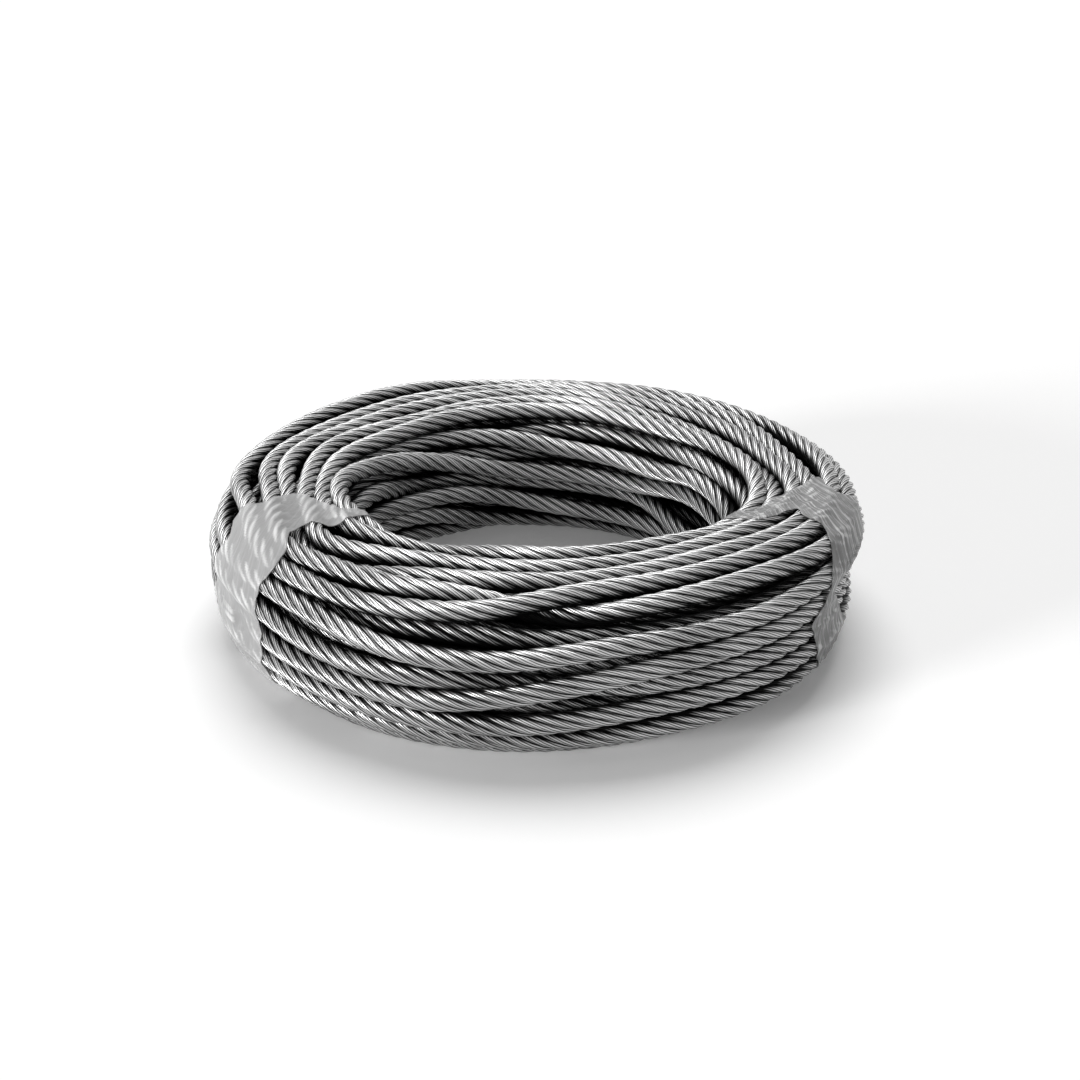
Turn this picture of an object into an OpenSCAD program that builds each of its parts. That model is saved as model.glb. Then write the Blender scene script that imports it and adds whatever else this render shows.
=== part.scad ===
// Coil of wire rope, tied with two bands of packing tape and lying flat.
//
// One length of rope is wound by hand into a ring, turn beside turn and turn on turn, with an
// open eye in the middle. The bundle of turns is a rounded box in section. The ring is made as
// one turned solid: its section is the bundle's core with every outside turn standing proud of
// it, so the turns show on the top, the bottom, the outside and in the eye. Each band is film
// wound round the bundle: it rides over the turns, dips between them, and is gathered narrower
// where it goes through the eye.
//
// Millimetres, +Z up. The origin is on the floor, at the middle of the eye.

/* [Rope] */
// Diameter of the wire rope
rope_d = 8; // [6:0.5:10]
// Least gap between one outside turn and the next
turn_gap = 0.5; // [0.2:0.1:3]

/* [Coil] */
// Outside diameter, over the outermost turns
coil_od = 266; // [246:2:330]
// Diameter of the eye, between the innermost turns
eye_d = 130; // [90:2:150]
// Height of the bundle, from its lowest turn to its highest
bundle_h = 61; // [46:1:76]
// Squareness of the bundle in section, where 2 is an ellipse and more is boxier
squareness = 3; // [2:0.1:5]

/* [Tape] */
// Width of the tape as it comes off its roll
tape_w = 48; // [30:1:60]
// Width that the tape is gathered to inside the eye
tape_gathered_w = 30; // [20:1:48]
// Thickness of all the wraps of a band together
tape_t = 0.4; // [0.2:0.05:1]
// Clearance between the film and the turns that it rides on
tape_clearance = 0.1; // [0.05:0.05:0.4]
// Radius to which the film bends where it dips between two turns
tape_dip_r = 10; // [4:1:25]
// Place of the left band round the coil, in degrees from +X
left_band_at = 209; // [190:1:250]
// Place of the right band round the coil, in degrees from +X
right_band_at = 340; // [290:1:350]
// Lean of the left band from upright, in degrees
left_band_lean = 8; // [-15:1:15]
// Lean of the right band from upright, in degrees
right_band_lean = -6; // [-15:1:15]

/* [Hidden] */
$fn = 96;

steel_grey = [0.62, 0.62, 0.61];
film_grey = [0.74, 0.74, 0.74, 0.6];

// Facets of a whole circle where the film rides on a turn, and where it dips between two
film_fn = 18;
dip_fn = 48;
// Straight steps in which the bundle's outline is measured
outline_steps = 360;

coil_r = coil_od / 2;
eye_r = eye_d / 2;
bundle_w = coil_r - eye_r;
bundle_mid_r = (coil_r + eye_r) / 2;

// The rope stands on the film of the bands, so its lowest turns are this far off the floor
rope_z0 = tape_clearance + tape_t;
bundle_mid_z = rope_z0 + bundle_h / 2;

// Half width and half height of the line that the outside turns' centres lie on
ring_a = (bundle_w - rope_d) / 2;
ring_b = (bundle_h - rope_d) / 2;

// Point of the outline at parameter t: a superellipse, |x/a|^n + |z/b|^n = 1
function blunted(c) = sign(c) * pow(abs(c), 2 / squareness);
function outline_point(t) = [ring_a * blunted(cos(t)), ring_b * blunted(sin(t))];

outline = [for (i = [0 : outline_steps]) outline_point(360 * i / outline_steps)];

// Length along the outline from its start to each of its points
steps = [for (i = [1 : outline_steps]) norm(outline[i] - outline[i - 1])];
walked = [for (i = 0, s = 0; i <= outline_steps; s = s + (i < outline_steps ? steps[i] : 0), i = i + 1) s];
outline_length = walked[outline_steps];

// Turns that fit round the outline, an even number so that one is outermost and one innermost
outside_turns = 2 * floor(outline_length / (rope_d + turn_gap) / 2);
function place_on_outline(s) =
    [lookup(s, [for (i = [0 : outline_steps]) [walked[i], outline[i][0]]]),
     lookup(s, [for (i = [0 : outline_steps]) [walked[i], outline[i][1]]])];
evenly_laid = [for (k = [0 : outside_turns - 1]) place_on_outline(outline_length * k / outside_turns)];

// Centres of the outside turns, raised a hair so that the highest reach the bundle's full height
highest = max([for (c = evenly_laid) c[1]]);
turn_centres = [for (c = evenly_laid) [c[0], c[1] * ring_b / highest]];

// Section of the bundle about its own middle: the core with the outside turns round it
module bundle_section(turn_r = rope_d / 2) {
    polygon(turn_centres);
    for (c = turn_centres) translate(c) circle(turn_r);
}

// Centre of the arc that touches two neighbouring turns from outside, where the film dips
function dip_centre(a, b, turn_r) =
    let (along = b - a, outward = [along[1], -along[0]] / norm(along),
         reach = turn_r + tape_dip_r)
    (a + b) / 2 + outward * sqrt(reach * reach - along * along / 4);

// The same section as tape lies over it, with the groove between two turns bridged by a dip.
// The facets of each turn lie outside its true circle.
module wrapped_section() {
    turn_r = rope_d / 2 / cos(180 / film_fn);
    bundle_section(turn_r, $fn = film_fn);
    for (k = [0 : outside_turns - 1]) {
        a = turn_centres[k];
        b = turn_centres[(k + 1) % outside_turns];
        dip = dip_centre(a, b, turn_r);
        difference() {
            polygon([a, dip, b]);
            translate(dip) circle(tape_dip_r, $fn = dip_fn);
        }
    }
}

module film_section() {
    difference() {
        offset(delta = tape_clearance + tape_t) wrapped_section();
        offset(delta = tape_clearance) wrapped_section();
    }
}

module rope_coil() {
    color(steel_grey)
        rotate_extrude()
            translate([bundle_mid_r, bundle_mid_z])
                bundle_section();
}

// Plan of a band before it leans: as wide as the tape outside the coil, gathered in the eye
module band_plan() {
    reach = rope_d;
    slope = (tape_w - tape_gathered_w) / (coil_r - eye_r);
    inner_w = tape_gathered_w - slope * reach;
    outer_w = tape_w + slope * reach;
    polygon([[eye_r - reach, -inner_w / 2], [coil_r + reach, -outer_w / 2],
             [coil_r + reach, outer_w / 2], [eye_r - reach, inner_w / 2]]);
}

module tape_band(at, lean) {
    // Half of the arc that holds the whole band at its widest, leaning and all
    half_arc = atan(tape_w / 2 / (eye_r - rope_d)) + abs(lean);
    color(film_grey)
        rotate([0, 0, at])
            intersection() {
                rotate_extrude(angle = 2 * half_arc, start = -half_arc)
                    translate([bundle_mid_r, bundle_mid_z])
                        film_section();
                translate([0, 0, bundle_mid_z])
                    rotate([lean, 0, 0])
                        linear_extrude(2 * bundle_h, center = true)
                            band_plan();
            }
}

module tape_band_left() tape_band(left_band_at, left_band_lean);
module tape_band_right() tape_band(right_band_at, right_band_lean);

rope_coil();
tape_band_left();
tape_band_right();
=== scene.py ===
"""A coil of 8 mm steel wire rope, wound by hand and tied with two bands of clear packing film.

The pieces follow in the order in which the coil is put together: the camera that frames it, the
winding, the rope itself, the two bands of film, and the studio that it lies in. Lengths are in
millimetres until a mesh is made. Angles round the coil are in degrees from the front, growing
towards the right.
"""

import bpy
import numpy as np
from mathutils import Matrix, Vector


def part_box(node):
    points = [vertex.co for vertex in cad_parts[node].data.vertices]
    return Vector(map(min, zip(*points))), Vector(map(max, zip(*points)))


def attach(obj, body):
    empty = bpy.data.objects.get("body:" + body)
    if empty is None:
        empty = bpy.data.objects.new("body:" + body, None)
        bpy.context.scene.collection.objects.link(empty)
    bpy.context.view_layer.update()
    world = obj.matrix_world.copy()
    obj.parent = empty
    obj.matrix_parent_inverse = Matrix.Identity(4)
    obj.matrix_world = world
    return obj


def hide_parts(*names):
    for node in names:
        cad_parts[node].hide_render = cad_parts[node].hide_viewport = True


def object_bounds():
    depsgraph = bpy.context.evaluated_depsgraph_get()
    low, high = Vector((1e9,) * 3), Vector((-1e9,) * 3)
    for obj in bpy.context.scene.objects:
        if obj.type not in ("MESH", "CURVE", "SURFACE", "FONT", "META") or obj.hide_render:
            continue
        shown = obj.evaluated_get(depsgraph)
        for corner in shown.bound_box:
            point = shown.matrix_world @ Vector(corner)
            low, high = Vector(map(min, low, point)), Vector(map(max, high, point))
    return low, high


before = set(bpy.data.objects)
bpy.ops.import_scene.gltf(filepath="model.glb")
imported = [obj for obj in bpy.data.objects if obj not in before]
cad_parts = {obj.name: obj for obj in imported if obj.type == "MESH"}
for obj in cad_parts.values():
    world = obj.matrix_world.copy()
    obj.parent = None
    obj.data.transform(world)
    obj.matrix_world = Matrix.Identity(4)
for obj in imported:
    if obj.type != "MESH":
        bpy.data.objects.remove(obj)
cad_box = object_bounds()

MM = 0.001

# ---------------------------------------------------------------------------------------------
# Camera
# A lens of about 60 mm on a full-frame body, on a tripod a little above the coil. It looks down
# at the middle of the bundle and stands five and a half coil radii away.

rope_low, rope_high = (np.array(corner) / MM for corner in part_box("rope_coil"))
COIL_R = (rope_high[0] - rope_low[0]) / 2
BUNDLE_BOTTOM = rope_low[2]
BUNDLE_TOP = rope_high[2]

CAMERA_DISTANCE = 5.5 * COIL_R
CAMERA_ELEVATION = 24.34
CAMERA_LENS = 59.17

tilt = np.radians(CAMERA_ELEVATION)
camera = bpy.data.objects.new("camera", bpy.data.cameras.new("camera"))
camera.data.lens = CAMERA_LENS
camera.data.sensor_width = 36.0
camera.data.clip_start = 0.05
camera.data.clip_end = 50.0
camera.location = (
    0,
    -CAMERA_DISTANCE * np.cos(tilt) * MM,
    ((BUNDLE_BOTTOM + BUNDLE_TOP) / 2 + CAMERA_DISTANCE * np.sin(tilt)) * MM,
)
camera.rotation_euler = (np.pi / 2 - tilt, 0, 0)
bpy.context.collection.objects.link(camera)
bpy.context.scene.camera = camera

# ---------------------------------------------------------------------------------------------
# Winding
# The rope is wound by hand, turn beside turn and layer over layer, from the middle of the bundle
# outwards. Every turn of a layer lies one place further round the bundle's section. The bands
# hold the turns in their places, and between the bands they bow apart, cross and sink.

ROPE_D = 8.0
EYE_R = 65.0
SQUARENESS = 3.0
SLICES = 240
LEFT_BAND_AT = -61.0
RIGHT_BAND_AT = 70.0

# The bands hold the turns for HELD degrees to each side, and let go of them over the next LET_GO
HELD = 6.0
LET_GO = 25.0

# How far the turns wander round the section and in depth, in mm, as a sum of WAVES sine waves that
# are from WAVE_SHORT to WAVE_SHORT + WAVE_SPAN turns long
WANDERS = (1.2, 0.66)
WAVES = 10
WAVE_SHORT = 0.25
WAVE_SPAN = 1.05

# The stiffness of the rope rounds its bends over this many slices
BEND_SLICES = 4.5

# How the turns settle: the slices over which a push spreads along the rope, and the rounds. Each
# push is a little more than half of what a pair lacks, because the spreading weakens it.
SETTLING = [(8, 25), (5, 25), (3, 30), (1.8, 25)]
PUSH = 1.1
AIR = 0.02

# A turn may stand this far out of the coil's box, in the eye, at the side and on the top
EYE_SLACK = 1.5
SIDE_SLACK = 0.7
TOP_SLACK = 1.0

# The right band tucks the outside turns in by up to TUCK mm, round TUCK_AT degrees. The tuck grows
# over TUCK_RISE mm down from TUCK_TOP, and lessens in the last TUCK_FALL mm above a rope's width.
TUCK = 6.5
TUCK_AT = 78.0
TUCK_WIDTH = 22.0
TUCK_TOP = 50.0
TUCK_RISE = 14.0
TUCK_FALL = 20.0

# Each band draws the eye's turns out: at how many degrees, how many degrees wide, and by how much
SQUEEZES = [(-82.0, 22.0, 9.0), (77.0, 19.0, 15.0)]

# Layers from the core outwards: depth below the outside turns, turns, and where the first turn
# starts, in mm round the section from its outermost point, up and over the top to the eye
LAYERS = [(23.3, 3, 0.0), (16.2, 10, 30.0), (8.1, 15, 10.0), (0.0, 21, -0.5)]
OUTER_TURNS = LAYERS[-1][1]

bundle_mid_r = (COIL_R + EYE_R) / 2
bundle_mid_z = (BUNDLE_BOTTOM + BUNDLE_TOP) / 2
half_w = (COIL_R - EYE_R - ROPE_D) / 2
half_h = (BUNDLE_TOP - BUNDLE_BOTTOM - ROPE_D) / 2


def blunted(wave):
    """A sine or cosine raised to 2 / SQUARENESS, which makes a rounded box out of an ellipse."""
    return np.sign(wave) * np.abs(wave) ** (2 / SQUARENESS)


outline_t = np.linspace(0, 2 * np.pi, 1441)
outline_x = half_w * blunted(np.cos(outline_t))
outline_z = half_h * blunted(np.sin(outline_t))
outline_s = np.append(0, np.cumsum(np.hypot(np.diff(outline_x), np.diff(outline_z))))
OUTLINE = outline_s[-1]


def on_section(s, depth):
    """Radius and height of the place s mm round the section and depth mm below the outside turns:
    the middle of the bundle, plus the rounded box with both half sizes less depth."""
    t = np.interp(s % OUTLINE, outline_s, outline_t)
    return np.stack(
        [
            bundle_mid_r + (half_w - depth) * blunted(np.cos(t)),
            bundle_mid_z + (half_h - depth) * blunted(np.sin(t)),
        ],
        axis=-1,
    )


# Where an outside turn leaves its place: the turn, the angles where it starts to go, is gone,
# starts back and is back, how far it slides up and over the top, and how deep it sinks, in mm
SLIPS = [
    (0, -75, -62, -22, -6, -4, 0), (0, -18, 35, 190, 225, 12.5, -0.5),
    (20, -58, -24, 190, 225, -7, 0), (20, -10, 0, 8, 22, -3, 0), (20, -22, -8, 2, 18, 0, 9),
    (19, -45, -20, -8, 16, -8, -1), (19, 2, 20, 35, 60, -2, -0.5),
    (18, -75, -60, -32, -16, -3, 3.5), (18, -14, 12, 190, 225, 9.5, 0),
    (18, -14, 12, 30, 75, 9, -0.5),
    (17, -85, -66, -56, -42, -7, -1), (17, -28, -6, -4, 9, 11, 0), (17, -18, -3, 5, 20, 0, 9.5),
    (17, 35, 72, 190, 225, -9, 0), (17, 8, 26, 60, 78, -2.2, 0),
    (16, -46, -8, 28, 75, 8.5, 0), (16, -62, -53, -45, -20, 0, 4.5), (16, -90, -74, -50, -28, 0, 5.5),
    (15, -54, -20, 48, 84, 8.5, -1), (15, -90, -70, -60, -46, -9, -1), (15, -62, -53, -46, -24, -9, -3.5),
    (14, -85, -66, -58, -38, -5, -0.5), (13, -85, -66, -58, -38, -3.5, 0), (12, -85, -66, -58, -38, -2, 0),
    (1, -60, -20, -10, 20, -4, 0), (2, -60, -20, -5, 25, -6, 0), (1, -6, 18, 50, 80, 3, 0),
    (17, 232, 260, 264, 284, -7, 0), (16, 235, 258, 264, 284, -5, 0),
    (15, 235, 258, 262, 280, -4, 0), (13, 205, 225, 240, 255, 3.5, 0),
    (17, 264, 284, 288, 304, 6, 0), (16, 255, 282, 292, 306, 9, 0),
    (15, 250, 278, 292, 306, 9.5, 0), (14, 250, 280, 292, 306, 9.5, 0),
    (13, 80, 100, 115, 135, -6, 0), (14, 200, 215, 222, 240, 4, 0),
    (13, 250, 278, 300, 345, 6, 3),
    (12, 115, 150, 300, 345, 0, 7.5), (12, 175, 210, 300, 345, 4, 5),
    (11, 165, 212, 300, 345, -10, 0), (11, 165, 205, 300, 345, 0, 7),
    (11, 80, 104, 112, 135, -8, 0),
    (10, 178, 262, 300, 350, -16, -0.5), (10, 250, 282, 300, 350, -8, 0), (10, 85, 105, 115, 145, -7, 0),
    (9, 120, 145, 230, 255, -2, 7.5), (9, 222, 255, 300, 350, -17, 0),
    (8, 165, 245, 300, 350, -20, 0), (8, 100, 140, 190, 250, -4, 0),
    (7, 175, 245, 300, 350, -20, 0), (6, 180, 248, 300, 350, -17, 0),
    (5, 185, 255, 300, 345, -10, 0), (4, 190, 255, 300, 345, -5, 0),
    (18, 80, 105, 120, 160, -7, 0), (16, 80, 98, 104, 130, 7, -0.5),
    (17, 80, 100, 130, 170, -4, 0), (19, 80, 100, 130, 170, -3, 0),
    (15, 85, 98, 104, 125, 4, 0),
]
# The turns in the eye crowd together where the front of the bundle bows open, and two give way
SLIPS += [(14 - i, -50, -20, 28, 74, 8 - 0.7 * i, -3.5 * (i == 0)) for i in range(10)]
SLIPS += [(14 - i, -60, -38, -32, 4, 8.5 - 0.8 * i, 4 * (i in (3, 7))) for i in range(9)]


def s_shaped(w):
    """3w^2 - 2w^3, with w held between 0 and 1."""
    w = np.clip(w, 0, 1)
    return w * w * (3 - 2 * w)


def eased(x, start, gone, back, end):
    """0 before start, 1 from gone to back, 0 after end, and S-shaped between."""
    return s_shaped(np.minimum((x - start) / (gone - start), (end - x) / (end - back)))


def spread(values, sigma):
    """Each column averaged along the rope with a bell-shaped weight, sigma slices wide."""
    reach = int(3 * sigma) + 1
    weight = np.exp(-0.5 * (np.arange(-reach, reach + 1) / sigma) ** 2)
    padded = np.pad(values, ((reach, reach), (0, 0)), mode="edge")
    columns = [np.convolve(column, weight / weight.sum(), "valid") for column in padded.T]
    return np.stack(columns, axis=-1)


def kept_in(places):
    """The places held inside the coil's box, off the floor and out of the eye, but for the slack."""
    r = np.clip(places[:, 0], EYE_R + ROPE_D / 2 - EYE_SLACK, COIL_R - ROPE_D / 2 + SIDE_SLACK)
    z = np.clip(places[:, 1], BUNDLE_BOTTOM + ROPE_D / 2, BUNDLE_TOP - ROPE_D / 2 + TOP_SLACK)
    return np.stack([r, z], axis=-1)


def settled(places):
    """The places after the turns have pushed each other a rope's width apart. In every slice each
    pair that is too close moves apart by half of what it lacks. The rope's stiffness spreads each
    push along it, over a shorter way in each round."""
    turns = len(places) // SLICES
    moved = np.zeros_like(places)
    for sigma, rounds in SETTLING:
        for _ in range(rounds):
            now = kept_in(places + moved)
            by_turn = now.reshape(turns, SLICES, 2)
            apart = by_turn[:, None] - by_turn[None]
            distance = np.linalg.norm(apart, axis=-1) + 1e-9
            lack = np.clip(ROPE_D + AIR - distance, 0, None)
            lack[np.arange(turns), np.arange(turns)] = 0
            push = (apart * (0.5 * lack / distance)[..., None]).sum(1).reshape(-1, 2)
            moved = spread(now - places + PUSH * spread(push, sigma), 0.7 * sigma)
    return kept_in(places + moved)


def degrees_off(angle, middle):
    """Degrees from the middle angle to the angle, the shorter way round."""
    return (angle - middle + 180) % 360 - 180


def bell(angle, middle, width):
    """1 at the middle angle, falling off on both sides with a bell curve that many degrees wide."""
    return np.exp(-0.5 * (degrees_off(angle, middle) / width) ** 2)


def drawn_together(places, angle):
    """The places after the bands have drawn the bundle together. The right one draws the outside
    turns below the top in, by TUCK at half height, less than half of it at the floor, and a third
    of it in the eye. Both draw the eye's turns out, as SQUEEZES says, times the share of the way
    in from the outside to the power 1.5."""
    r, z = places.T
    outer = (r - EYE_R) / (COIL_R - EYE_R)
    below_top = s_shaped((TUCK_TOP - z) / TUCK_RISE)
    off_floor = 0.45 + 0.55 * np.clip((z - ROPE_D) / TUCK_FALL, 0, 1)
    inward = TUCK * bell(angle, TUCK_AT, TUCK_WIDTH) * below_top * off_floor * (0.3 + 0.7 * outer)
    outward = sum(pull * bell(angle, at, width) for at, width, pull in SQUEEZES) * (1 - outer) ** 1.5
    return np.stack([r - inward + outward, z], axis=-1)


def wound():
    """Radius and height of the rope's middle, SLICES places to a turn, from its start in the core
    to its end. A layer's place round the section falls evenly by one turn's width a turn. To it
    come the slips and a slow random wander that dies away at the bands."""
    s = []
    depth = []
    for layer_depth, turns, start in LAYERS:
        s.append(start - OUTLINE * np.arange(turns * SLICES) / SLICES / turns)
        depth.append(np.full(turns * SLICES, layer_depth))
    s = np.concatenate(s)
    depth = np.concatenate(depth)
    turn = np.arange(len(s)) / SLICES
    outer_turn = turn - (turn[-1] + 1 / SLICES - OUTER_TURNS)
    outside = outer_turn >= 0
    for which, start, gone, back, end, slide, sink in SLIPS:
        corners = [which + (angle - LEFT_BAND_AT) / 360 for angle in (start, gone, back, end)]
        share = eased(outer_turn, *corners) * outside
        s += slide * share
        depth += sink * share
    angle = LEFT_BAND_AT + 360 * turn
    off_left = np.abs(degrees_off(angle, LEFT_BAND_AT))
    off_right = np.abs(degrees_off(angle, RIGHT_BAND_AT))
    free = s_shaped((np.minimum(off_left, off_right) - HELD) / LET_GO)
    rng = np.random.default_rng(7)
    for values, amount in zip((s, depth), WANDERS):
        period, phase = rng.random((WAVES, 2)).T
        waves = np.sin(2 * np.pi * (turn[:, None] / (WAVE_SHORT + WAVE_SPAN * period) + phase))
        values += amount * waves.sum(1) / np.sqrt(WAVES / 2) * free
    return drawn_together(settled(spread(on_section(s, depth), BEND_SLICES)), angle)


winding = wound()
TURNS = len(winding) // SLICES

# ---------------------------------------------------------------------------------------------
# Wire rope
# Steel wire rope of 8 mm, six round strands laid right-handed round a core, each strand of fine
# wires. It is one length of about 30 m. Its start lies inside the bundle, and its cut end is
# tucked under the left band.

STRANDS = 6
STRAND_R = ROPE_D / 6
LAY = 48.0

# The cut end lies this many slices short of the last whole turn, under the left band
TAIL_SHORT = 0.012 * SLICES

# Of each strand the outer two thirds show, with WIRES_SHOWN wires side by side. They lie at a slant
# to the strand, so that along a metre of rope WIRES_PER_METRE of them reach its crest.
WIRES_SHOWN = 5.0
WIRES_PER_METRE = 100.0

# Share of the depth in the bundle, and of the depth down the turn's own side, that is in shade
SHADE_IN_BUNDLE = 0.4
SHADE_DOWN_SIDE = 0.9


def to_linear(hex_colour):
    """An sRGB hex colour as linear red, green, blue and an alpha of 1."""
    values = np.array([int(hex_colour[i : i + 2], 16) for i in (1, 3, 5)]) / 255
    linear = np.where(values <= 0.04045, values / 12.92, ((values + 0.055) / 1.055) ** 2.4)
    return (*linear.tolist(), 1.0)


def node(tree, kind, links=None, **settings):
    """Adds a shader node. Settings are its properties, links its inputs by name or number: a value,
    or another node's output. A Mix of colours has them at 6 and 7, and the mixed one at output 2."""
    made = tree.nodes.new("ShaderNode" + kind)
    for name, value in settings.items():
        setattr(made, name, value)
    for name, value in (links or {}).items():
        if isinstance(value, bpy.types.NodeSocket):
            tree.links.new(value, made.inputs[name])
        else:
            made.inputs[name].default_value = value
    return made


def new_material(name):
    """An empty node material of that name, and its output node."""
    material = bpy.data.materials.new(name)
    material.use_nodes = True
    material.node_tree.nodes.clear()
    return material, node(material.node_tree, "OutputMaterial")


def drawn_steel_wire():
    """Steel wire, drawn bright and laid with a little grease and grime in random patches. The
    crowns of the wires shine, and the grooves between wires, strands and turns are painted dark
    as shade. A wire's crown is sqrt(1 - x^2) high, where x goes from -1 to 1 across it. The pattern
    reads the rope's own UV map, which is metres along the rope and strands round it, and the
    attribute "sunk", the depth in painted shade in mm."""
    material, output = new_material("drawn_steel_wire_bright")
    tree = material.node_tree
    place = node(tree, "SeparateXYZ", {0: node(tree, "UVMap", uv_map="rope").outputs[0]})
    strand = node(tree, "Math", {0: place.outputs[1]}, operation="FRACT")
    round_strand = node(tree, "Math", {0: strand.outputs[0], 1: WIRES_SHOWN}, operation="MULTIPLY")
    wires = node(
        tree, "Math",
        {0: place.outputs[0], 1: WIRES_PER_METRE, 2: round_strand.outputs[0]},
        operation="MULTIPLY_ADD",
    )
    wire = node(tree, "Math", {0: wires.outputs[0]}, operation="FRACT")
    side = node(tree, "Math", {0: wire.outputs[0], 1: 2.0, 2: -1.0}, operation="MULTIPLY_ADD")
    side_squared = node(tree, "Math", {0: side.outputs[0], 1: side.outputs[0]}, operation="MULTIPLY")
    crown = node(tree, "Math", {0: 1.0, 1: side_squared.outputs[0]}, operation="SUBTRACT")
    round_wire = node(tree, "Math", {0: crown.outputs[0], 1: 0.5}, operation="POWER")
    # Painted shade in the thin grooves between the wires
    between_wires = node(
        tree, "MapRange",
        {"Value": round_wire.outputs[0], "From Min": 0.3, "From Max": 0.95, "To Min": 1.3, "To Max": 0.0},
    )
    # Painted shade in the grooves between strands, darker away from each strand's crest
    across = node(tree, "Math", {0: strand.outputs[0], 1: 0.5}, operation="SUBTRACT")
    off_crest = node(tree, "Math", {0: across.outputs[0]}, operation="ABSOLUTE")
    between_strands = node(
        tree, "MapRange",
        {"Value": off_crest.outputs[0], "From Min": 0.2, "From Max": 0.45, "To Min": 0.0, "To Max": 0.6},
    )
    # Painted shade between and under the turns, darker where sunk is deeper
    sunk = node(tree, "Attribute", attribute_name="sunk")
    between_turns = node(
        tree, "MapRange",
        {"Value": sunk.outputs["Fac"], "From Min": 2.8, "From Max": 6.5, "To Min": 0.0, "To Max": 1.0},
    )
    where = node(tree, "TexCoord").outputs["Object"]
    handling = node(tree, "TexNoise", {"Vector": where, "Scale": 1 / 0.03, "Detail": 4.0})
    grime = node(
        tree, "MapRange",
        {"Value": handling.outputs[0], "From Min": 0.4, "From Max": 0.7, "To Min": 0.0, "To Max": 0.3},
    )
    dark = between_wires.outputs[0]
    for more in (between_strands, between_turns, grime):
        dark = node(tree, "Math", {0: dark, 1: more.outputs[0]}, operation="ADD").outputs[0]
    dark = node(tree, "Clamp", {0: dark}).outputs[0]
    # The steel's colour, from #c8c8c8 on the crowns to near black where painted shade and random grime add
    # up
    colour = node(
        tree, "Mix", {0: dark, 6: to_linear("#c8c8c8"), 7: to_linear("#060606")}, data_type="RGBA"
    )
    rough = node(tree, "MapRange", {"Value": dark, "To Min": 0.28, "To Max": 0.5})
    relief = node(tree, "Bump", {"Height": round_wire.outputs[0], "Distance": 0.00035, "Strength": 1.0})
    steel = node(
        tree, "BsdfPrincipled",
        {
            "Base Color": colour.outputs[2],
            "Metallic": 0.9,
            "Roughness": rough.outputs[0],
            "Normal": relief.outputs[0],
        },
    )
    tree.links.new(steel.outputs[0], output.inputs[0])
    return material


def rope_place(turn):
    """Middle of the rope in space, in mm, after that many turns: x = r sin(angle), y = -r cos(angle),
    with r and z read from the winding."""
    at = np.arange(len(winding)) / SLICES
    r = np.interp(turn, at, winding[:, 0])
    z = np.interp(turn, at, winding[:, 1])
    angle = np.radians(LEFT_BAND_AT + 360 * turn)
    return np.stack([r * np.sin(angle), -r * np.cos(angle), z], axis=-1)


slice_turns = np.arange(len(winding)) / SLICES
slice_steps = np.linalg.norm(np.diff(rope_place(slice_turns), axis=0), axis=1)
length_at_slice = np.append(0, np.cumsum(slice_steps))


def strand_section(columns):
    """Outline of the six strands, with that many columns to a strand: each is an arc of 240 degrees
    of its own circle, from where it touches one neighbour to where it touches the other."""
    own = np.radians(np.linspace(-120, 120, columns, endpoint=False))
    x = 2 * STRAND_R + STRAND_R * np.cos(own)
    y = STRAND_R * np.sin(own)
    turn = np.radians(60) * np.arange(STRANDS)[:, None]
    round_x = x * np.cos(turn) - y * np.sin(turn)
    round_y = x * np.sin(turn) + y * np.cos(turn)
    return round_x.ravel(), round_y.ravel()


def new_piece(name, points, faces, material):
    """A mesh piece at the origin, from points in mm."""
    mesh = bpy.data.meshes.new(name)
    mesh.from_pydata((points * MM).tolist(), [], faces)
    mesh.materials.append(material)
    piece = bpy.data.objects.new(name, mesh)
    bpy.context.collection.objects.link(piece)
    return piece


def shade_depth(points, middle, across, up):
    """How deep each point lies in shade, in mm: shares of its depth in the bundle and of its depth
    down its own turn's side, added. With x and z from the bundle's middle, the bundle's outline is
    where (|x/a|^n + |z/b|^n)^(1/n) = 1. The first depth is the way out to that, from 0 to 30 mm. The
    second is half a rope less the point's offset along the outline's outward direction, which is
    the gradient of that sum at the rope's middle. The last two points are the caps' middles."""
    a = half_w + ROPE_D / 2
    b = half_h + ROPE_D / 2
    x = np.hypot(points[:, 0], points[:, 1]) - bundle_mid_r
    z = points[:, 2] - bundle_mid_z
    reach = (np.abs(x / a) ** SQUARENESS + np.abs(z / b) ** SQUARENESS) ** (1 / SQUARENESS)
    in_bundle = np.clip(np.hypot(x, z) * (1 / np.maximum(reach, 0.1) - 1), 0, 30)
    mid_x = np.hypot(middle[:, 0], middle[:, 1]) - bundle_mid_r
    mid_z = middle[:, 2] - bundle_mid_z
    out_x = np.sign(mid_x) * np.abs(mid_x / a) ** (SQUARENESS - 1) / a
    out_z = np.sign(mid_z) * np.abs(mid_z / b) ** (SQUARENESS - 1) / b
    steep = np.hypot(out_x, out_z) + 1e-9
    down_side = ROPE_D / 2 - (across * out_x[:, None] + up * out_z[:, None]) / steep[:, None]
    down_side = np.append(down_side.ravel(), [ROPE_D / 2, ROPE_D / 2])
    return SHADE_IN_BUNDLE * in_bundle + SHADE_DOWN_SIDE * down_side


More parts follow.
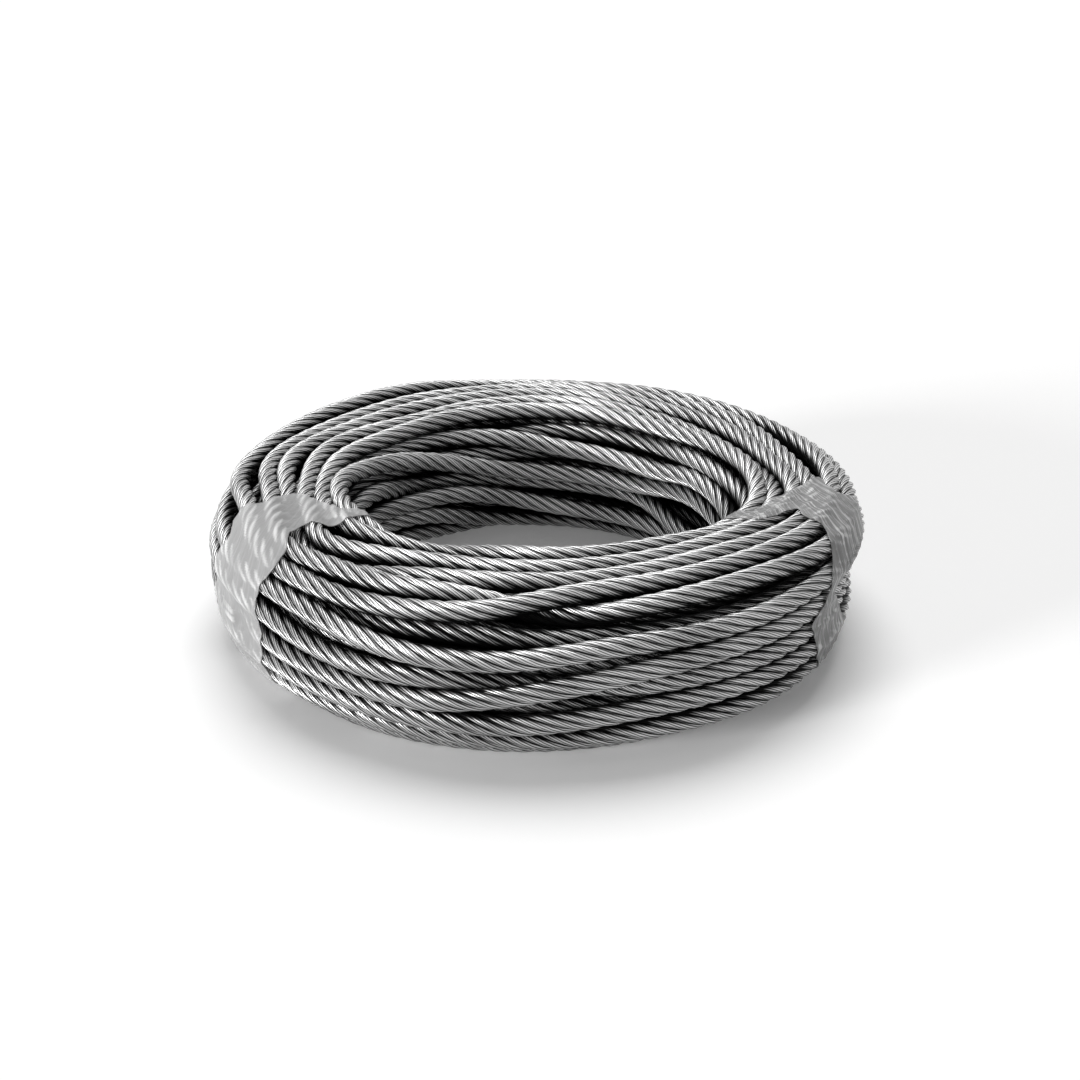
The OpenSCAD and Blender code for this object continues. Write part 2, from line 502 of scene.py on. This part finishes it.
def rope_length(name, first_turn, last_turn, columns, rings_per_lay):
    """The rope from one turn to another, as a tube with the section of its strands. At the length L
    the section is turned by -2 pi L / LAY about the rope's middle, so that the strands run round it
    as right-handed helices. Both ends are closed with a fan of triangles."""
    start, end = np.interp([first_turn, last_turn], slice_turns, length_at_slice)
    rings = int(round((end - start) * rings_per_lay / LAY)) + 1
    length = np.linspace(start, end, rings)
    middle = rope_place(np.interp(length, length_at_slice, slice_turns))
    along = np.gradient(middle, axis=0)
    along /= np.linalg.norm(along, axis=1)[:, None]
    outward = np.cross(along, [0.0, 0.0, 1.0])
    outward /= np.linalg.norm(outward, axis=1)[:, None]
    upward = np.cross(outward, along)

    x, y = strand_section(columns)
    twist = -2 * np.pi * length[:, None] / LAY
    across = x * np.cos(twist) - y * np.sin(twist)
    up = x * np.sin(twist) + y * np.cos(twist)
    tube = middle[:, None] + across[..., None] * outward[:, None] + up[..., None] * upward[:, None]

    around = STRANDS * columns
    ring = np.arange(rings - 1)[:, None] * around
    column = np.arange(around)[None]
    beside = (column + 1) % around
    quads = np.stack([ring + column, ring + around + column, ring + around + beside, ring + beside], -1)
    quads = quads.reshape(-1, 4)
    centre = rings * around
    last = (rings - 1) * around
    start_cap = np.stack([column[0], beside[0], np.full(around, centre)], -1)
    end_cap = np.stack([last + beside[0], last + column[0], np.full(around, centre + 1)], -1)
    points = np.concatenate([tube.reshape(-1, 3), middle[:1], middle[-1:]])
    faces = quads.tolist() + start_cap.tolist() + end_cap.tolist()
    piece = new_piece(name, points, faces, steel_wire)

    smooth = np.ones(len(faces), dtype=bool)
    smooth[len(quads) :] = False
    piece.data.polygons.foreach_set("use_smooth", smooth)
    u = np.broadcast_to(length[:, None] * MM, (rings, around + 1))
    v = np.broadcast_to(np.arange(around + 1) / columns, (rings, around + 1))
    uv = np.stack([u, v], -1)
    corners = np.stack([uv[:-1, :-1], uv[1:, :-1], uv[1:, 1:], uv[:-1, 1:]], 2).reshape(-1, 2)
    caps = np.tile([[0.0, 0.5]], (6 * around, 1))
    layer = piece.data.uv_layers.new(name="rope")
    layer.data.foreach_set("uv", np.concatenate([corners, caps]).ravel())
    # The depth in mm that the steel's painted shade between and under the turns reads
    sunk = piece.data.attributes.new("sunk", "FLOAT", "POINT")
    sunk.data.foreach_set("value", shade_depth(points, middle, across, up))

    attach(piece, "root")
    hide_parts("rope_coil")
    return piece, middle * MM, (end - start) * MM


steel_wire = drawn_steel_wire()

# The rope is one length. It is cut into runs of whole turns, each going on where the last one
# ends, so that no mesh is too heavy. Turns that lie deep get fewer columns and rings.
CORE_TURNS = LAYERS[0][1] + LAYERS[1][1]
UNDER_TURNS = CORE_TURNS + LAYERS[2][1]
THIRD = OUTER_TURNS // 3
END = TURNS - TAIL_SHORT / SLICES

# Name, first turn, last turn, columns to a strand and rings to a lay
RUNS = [
    ("rope_core_turns", 0, CORE_TURNS, 4, 6),
    ("rope_under_turns", CORE_TURNS, UNDER_TURNS, 7, 9),
    ("rope_outer_turns_1", UNDER_TURNS, UNDER_TURNS + THIRD, 12, 13),
    ("rope_outer_turns_2", UNDER_TURNS + THIRD, UNDER_TURNS + 2 * THIRD, 12, 13),
    ("rope_outer_turns_3", UNDER_TURNS + 2 * THIRD, END, 12, 13),
]

for name, first, last, columns, rings_per_lay in RUNS:
    piece, path, length = rope_length(name, first, last, columns, rings_per_lay)

# ---------------------------------------------------------------------------------------------
# Bands of packing film
# Clear polypropylene packing film, 48 mm wide, pulled tight round the bundle in several wraps.
# It clings to the strands of the outside turns, bridges the grooves between turns, and is
# gathered where it is pulled narrow.

FILM_T = 0.25
FILM_LIFT = 0.2
FLOOR_CLEARANCE = 0.02

# Rows round the section, columns across the film, and degrees between the places where the rope
# under it is felt
FILM_ROWS = 384
FILM_COLUMNS = 60
FILM_STEP = 0.3

# Radius of the balls that bridge the grooves between strands along a turn, those between turns,
# and everything between the highest crests of a turn
STRAND_BALL = 6.0
TURN_BALL = 8.0
CREST_BALL = 40.0

# The film sticks where the rope is less than STUCK_WITHIN below the crests of its turn, and lets
# go where it bridges two turns, up to LOOSE_ABOVE higher than the crests there
STUCK_WITHIN = 0.22
LOOSE_ABOVE = 0.8

# The edges wave by EDGE_WAVE / n degrees, with n of these waves to the way round
EDGE_WAVE = 2.2
EDGE_WAVES = (7, 13, 23, 41)


def packing_film(name, seed, gathered):
    """Clear polypropylene film, several wraps thick, stretched over a greasy rope. It looks grey
    and half clear and softly glossy with fine crinkles, with a painted highlight where it lies on
    the crests of the strands. gathered says from 0 to 1 how much the film is drawn into pleats
    along its pull, which gives the pleats painted light and shade, and above 0.5 a plain grey
    darkened as painted shade. Pleats are about 1.4 mm by 14 mm, crinkles 4 mm and patches 14 mm.
    The pattern reads the film's own UV map, in metres, and the attribute "stuck"."""
    material, output = new_material(name)
    tree = material.node_tree
    place = node(tree, "UVMap", uv_map="film").outputs[0]
    drawn = node(tree, "Mapping", {"Vector": place, "Location": (seed, seed, 0), "Scale": (70, 700, 1)})
    pleats = node(
        tree, "TexNoise", {"Vector": drawn.outputs[0], "Scale": 1.0, "Detail": 4.0, "Distortion": 0.5}
    )
    crushed = node(tree, "Mapping", {"Vector": place, "Location": (seed, 0, 0), "Scale": (250, 250, 1)})
    crinkles = node(
        tree, "TexNoise", {"Vector": crushed.outputs[0], "Scale": 1.0, "Detail": 5.0, "Distortion": 1.5}
    )
    patchy = node(tree, "Mapping", {"Vector": place, "Location": (seed, 7, 0), "Scale": (70, 70, 1)})
    patches = node(tree, "TexNoise", {"Vector": patchy.outputs[0], "Scale": 1.0, "Detail": 5.0})
    relief = node(tree, "Bump", {"Height": pleats.outputs[0], "Distance": 0.0006, "Strength": gathered})
    fine_relief = node(
        tree, "Bump",
        {"Height": crinkles.outputs[0], "Distance": 0.0004, "Strength": 0.4, "Normal": relief.outputs[0]},
    )
    stuck = node(tree, "Attribute", attribute_name="stuck").outputs["Fac"]
    # Painted highlight on the film where it lies on the strands' crests, stronger in random patches
    grip = node(
        tree, "MapRange",
        {
            "Value": patches.outputs[0],
            "From Min": 0.38 + 0.12 * gathered,
            "From Max": 0.56 + 0.12 * gathered,
            "To Min": 0.25 - 0.25 * gathered,
        },
    )
    stuck_well = node(tree, "Math", {0: stuck, 1: grip.outputs[0]}, operation="MULTIPLY")
    # Painted light and shade along the pleats, following the same noise as their relief
    painted_pleat_shading = node(
        tree, "MapRange",
        {
            "Value": pleats.outputs[0],
            "From Min": 0.36,
            "From Max": 0.66,
            "To Min": -gathered,
            "To Max": gathered,
        },
    )
    light = node(tree, "Math", {0: stuck_well.outputs[0], 1: painted_pleat_shading.outputs[0]}, operation="ADD")
    pale = node(tree, "Clamp", {0: light.outputs[0]})
    # Painted shade: the gathered band gets a darker plain grey than the other band
    plain = to_linear("#868686") if gathered > 0.5 else to_linear("#a8a8a8")
    colour = node(tree, "Mix", {0: pale.outputs[0], 6: plain, 7: to_linear("#f0f0f0")}, data_type="RGBA")
    film = node(
        tree, "BsdfPrincipled",
        {
            "Base Color": colour.outputs[2],
            "Roughness": 0.3,
            "IOR": 1.49,
            "Alpha": 0.62,
            "Normal": fine_relief.outputs[0],
        },
    )
    tree.links.new(film.outputs[0], output.inputs[0])
    return material


def strand_reach(local_angle, length):
    """How far the rope's surface is from its middle, in the direction local_angle at that length:
    c cos(a) + sqrt(r^2 - c^2 sin^2(a)), where a is the angle from the nearest strand's middle."""
    a = local_angle + 2 * np.pi * length / LAY
    a = (a + np.pi / 6) % (np.pi / 3) - np.pi / 6
    centre = 2 * STRAND_R
    return centre * np.cos(a) + np.sqrt(np.clip(STRAND_R**2 - (centre * np.sin(a)) ** 2, 0, None))


def bridged(height, step, radius, axis, wraps):
    """Heights after a ball of that radius has rolled over them along one axis: raised by the ball
    at every point, then lowered by it, so that grooves narrower than the ball are bridged."""
    reach = int(np.sqrt(8 * radius) / step)  # as far as where the ball is 4 mm off the surface
    for lower in (False, True):
        tried = []
        for shift in range(-reach, reach + 1):
            bulge = (shift * step) ** 2 / (2 * radius)
            moved = np.roll(height, shift, axis)
            if not wraps:
                edge = np.take(height, [-1 if shift < 0 else 0], axis)
                index = np.arange(height.shape[axis]) - shift
                out = (index < 0) | (index >= height.shape[axis])
                moved = np.where(np.expand_dims(out, 1 - axis), edge, moved)
            tried.append(moved + bulge if lower else moved - bulge)
        height = np.min(tried, axis=0) if lower else np.max(tried, axis=0)
    return height


def film_section():
    """Places on the bundle's outline under the rows of the film, the directions along it there and
    those out of it."""
    s = OUTLINE * np.arange(FILM_ROWS) / FILM_ROWS
    base = on_section(s, 0.0)
    along = on_section(s + 0.5, 0.0) - on_section(s - 0.5, 0.0)
    along /= np.linalg.norm(along, axis=1)[:, None]
    out = np.stack([along[:, 1], -along[:, 0]], -1)
    return s, base, along, out


def film_heights(angles):
    """Height of tight film over the bundle's outline, in mm, for each row and each of the angles,
    and how much it sticks to the rope there, from 0 to 1. The film takes the height of the highest
    strand on each line out of the outline, which is the height of the rope's middle plus
    sqrt(reach^2 - side^2), and bridges what is narrower than a small ball. It sticks to the crests
    of the strands, and not where it bridges two turns."""
    s, base, along, out = film_section()
    turn = ((angles - LEFT_BAND_AT) / 360) % 1 + np.arange(TURNS)[:, None]
    turn = np.clip(turn, 0, END)
    r = np.interp(turn, slice_turns, winding[:, 0])
    z = np.interp(turn, slice_turns, winding[:, 1])
    length = np.interp(turn, slice_turns, length_at_slice)

    off = np.stack([r, z], -1)[None] - base[:, None, None]
    side = (off * along[:, None, None]).sum(-1)
    rise = np.sqrt(np.clip((ROPE_D / 2) ** 2 - side**2, 0, None))
    toward = rise[..., None] * out[:, None, None] - side[..., None] * along[:, None, None]
    reach = strand_reach(np.arctan2(toward[..., 1], toward[..., 0]), length[None])
    top = (off * out[:, None, None]).sum(-1) + np.sqrt(np.clip(reach**2 - side**2, 0, None))
    height = np.where(np.abs(side) < ROPE_D / 2, top, -9.0).max(1)  # far below, where no rope is

    angle_step = np.radians(angles[1] - angles[0]) * COIL_R
    row_step = OUTLINE / FILM_ROWS
    over_strands = bridged(height, angle_step, STRAND_BALL, 1, False)
    clung = bridged(over_strands, row_step, TURN_BALL, 0, True)
    crests = bridged(height, angle_step, CREST_BALL, 1, False)
    on_crest = np.clip(1 - (crests - height) / STUCK_WITHIN, 0, 1)
    stuck = on_crest * np.clip(1 - (clung - crests) / LOOSE_ABOVE, 0, 1)
    return clung, stuck


def between(grid, column):
    """Values of the grid's rows at fractions of a column, joined by straight lines."""
    low = np.clip(column.astype(int), 0, grid.shape[1] - 2)
    part = column - low
    rows = np.arange(len(grid))[:, None]
    return grid[rows, low] * (1 - part) + grid[rows, low + 1] * part


def film_band(name, edges, seed, gathered):
    """A closed band of film. edges are mm round the section, and the angles of the band's left and
    right edges there, joined by straight lines and made a little wavy by a sum of sine waves. At
    each row and column the film lies its height out of the outline, turned by its angle."""
    s, base, _, out = film_section()
    at, left, right = np.array(edges).T
    angles = np.arange(left.min() - 2, right.max() + 2, FILM_STEP)
    height, stuck = film_heights(angles)
    left = np.interp(s, at, left, period=OUTLINE)
    right = np.interp(s, at, right, period=OUTLINE)
    rng = np.random.default_rng(seed)
    for waves in EDGE_WAVES:
        phases = rng.uniform(0, 2 * np.pi, (2, 1))
        left_wave, right_wave = EDGE_WAVE / waves * np.sin(2 * np.pi * waves * s / OUTLINE + phases)
        left = left + left_wave
        right = right + right_wave

    across = np.linspace(0, 1, FILM_COLUMNS)
    angle = left[:, None] + (right - left)[:, None] * across
    column = (angle - angles[0]) / FILM_STEP
    lift = between(height, column) + FILM_LIFT
    place = base[:, None] + lift[..., None] * out[:, None]
    place[..., 1] = np.maximum(place[..., 1], FLOOR_CLEARANCE)
    turned = np.radians(angle)
    points = np.stack([place[..., 0] * np.sin(turned), -place[..., 0] * np.cos(turned), place[..., 1]], -1)

    row = np.arange(FILM_ROWS)[:, None] * FILM_COLUMNS
    above = np.roll(row, -1, 0)
    col = np.arange(FILM_COLUMNS - 1)[None]
    quads = np.stack([row + col, row + col + 1, above + col + 1, above + col], -1).reshape(-1, 4)
    film = packing_film(name.replace("film", "clear_packing_film"), seed, gathered)
    piece = new_piece(name, points.reshape(-1, 3), quads.tolist(), film)
    piece.data.polygons.foreach_set("use_smooth", np.ones(len(quads), dtype=bool))
    # How much the film lies on the crests, which the film's painted highlight reads
    stuck_here = between(stuck, column).ravel()
    piece.data.attributes.new("stuck", "FLOAT", "POINT").data.foreach_set("value", stuck_here)

    u = np.append(s, OUTLINE)[:, None] + 0 * across
    v = np.radians(np.append(angle, angle[:1], 0)) * np.append(base, base[:1], 0)[:, :1]
    uv = np.stack([u, v], -1) * MM
    corners = np.stack([uv[:-1, :-1], uv[:-1, 1:], uv[1:, 1:], uv[1:, :-1]], 2).reshape(-1, 2)
    layer = piece.data.uv_layers.new(name="film")
    layer.data.foreach_set("uv", corners.ravel())

    thickness = piece.modifiers.new("film_thickness", "SOLIDIFY")
    thickness.thickness = FILM_T * MM
    thickness.offset = 1.0
    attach(piece, "root")
    return piece


# Edges of each band: mm round the section from its outermost point, up and over the top to the
# eye, and the angles of its left and right edges
LEFT_BAND = [
    (-75, -73, -49), (-50, -72, -50), (-15, -72, -51), (0, -72, -51), (12, -70, -51.8), (20, -68.5, -51),
    (24, -72.5, -51), (30, -72.8, -52), (36, -73, -57), (42, -76, -59.3), (47, -77, -58), (50, -75, -56),
    (54, -71, -56), (57, -66, -56.5), (60, -63, -57), (64, -61, -57), (70, -60, -56), (80, -60, -54),
    (95, -65, -50),
]
RIGHT_BAND = [
    (-75, 56, 80), (-50, 55, 82), (-30, 58, 82), (-19, 57, 76), (-15, 54.7, 71), (-9, 53.2, 67),
    (-3.5, 51.4, 65), (2.5, 50.2, 62), (6, 52, 59.5), (8.5, 54.5, 57.5), (10, 55.5, 58), (12.4, 56.2, 62),
    (15.4, 56, 71), (17, 56.5, 78), (20, 58.2, 81), (23, 59.8, 83), (26, 61.6, 82), (30, 64.7, 80.5),
    (33, 65, 83), (35, 65.4, 87), (38, 67, 85), (40.5, 69.7, 83), (43, 68, 81), (46, 63.5, 79),
    (50, 59, 76), (53.5, 59, 71.5), (57, 60, 66), (62, 61, 66), (70, 61, 67), (78, 60, 67), (95, 54, 70),
]
left_band = film_band("left_band_film", LEFT_BAND, 3, 0.15)
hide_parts("tape_band_left")
right_band = film_band("right_band_film", RIGHT_BAND, 8, 0.7)
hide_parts("tape_band_right")

# ---------------------------------------------------------------------------------------------
# Studio
# A seamless white floor that runs back out of sight, a wide soft light high up behind the coil, a
# smaller one low at the front left, and an even white room round them.

FLOOR_SIDE = 12.0

# Strength of the floor's glow as it is seen, of the room as light, and of the room as it is seen
FLOOR_GLOW = 0.13
ROOM_LIGHT = 0.16
ROOM_SEEN = 1.0


def seen_rays(tree):
    """1 for the rays that show the studio, straight to the camera, in gloss or through film, and 0
    for the rays that only light the coil."""
    rays = node(tree, "LightPath").outputs
    gloss = node(tree, "Math", {0: rays["Is Camera Ray"], 1: rays["Is Glossy Ray"]}, operation="MAXIMUM")
    seen = node(tree, "Math", {0: gloss.outputs[0], 1: rays["Is Transmission Ray"]}, operation="MAXIMUM")
    return seen.outputs[0]


def white_board():
    """Matt white board. The camera sees it lit a little from behind, so that it is white outside
    the coil's shadow."""
    material, output = new_material("matt_white_board")
    tree = material.node_tree
    board = node(tree, "BsdfDiffuse", {"Color": to_linear("#f4f4f4")})
    backlight = node(tree, "Emission", {"Color": (1, 1, 1, 1), "Strength": FLOOR_GLOW})
    both = node(tree, "AddShader", {0: board.outputs[0], 1: backlight.outputs[0]})
    mixed = node(tree, "MixShader", {0: seen_rays(tree), 1: board.outputs[0], 2: both.outputs[0]})
    tree.links.new(mixed.outputs[0], output.inputs[0])
    return material


def soft_light(name, strength, softness, side, elevation):
    """A distant light that looks softness degrees wide, from side degrees off the front and
    elevation degrees up."""
    light = bpy.data.objects.new(name, bpy.data.lights.new(name, "SUN"))
    light.data.energy = strength
    light.data.angle = np.radians(softness)
    light.rotation_euler = (np.radians(90 - elevation), 0, np.radians(side))
    bpy.context.collection.objects.link(light)


half_side = FLOOR_SIDE / 2 / MM
floor_z = cad_box[0][2] / MM
floor_points = np.array([(x, y, floor_z) for x, y in ((-1, -1), (1, -1), (1, 1), (-1, 1))])
floor_points[:, :2] *= half_side
floor = new_piece("floor", floor_points, [(0, 1, 2, 3)], white_board())

soft_light("overhead_light", 2.35, 45, 180, 64)
soft_light("side_light", 3.5, 15.5, -58, 9)

world = bpy.data.worlds.new("white_room")
world.use_nodes = True
world.node_tree.nodes.clear()
room_output = node(world.node_tree, "OutputWorld")
room_light = node(world.node_tree, "Background", {"Color": (1, 1, 1, 1), "Strength": ROOM_LIGHT})
room_seen = node(world.node_tree, "Background", {"Color": (1, 1, 1, 1), "Strength": ROOM_SEEN})
rays = seen_rays(world.node_tree)
room = node(world.node_tree, "MixShader", {0: rays, 1: room_light.outputs[0], 2: room_seen.outputs[0]})
world.node_tree.links.new(room.outputs[0], room_output.inputs[0])
bpy.context.scene.world = world
bpy.context.scene.view_settings.view_transform = "Standard"

# ---------------------------------------------------------------------------------------------
# The last line

bpy.context.view_layer.update()
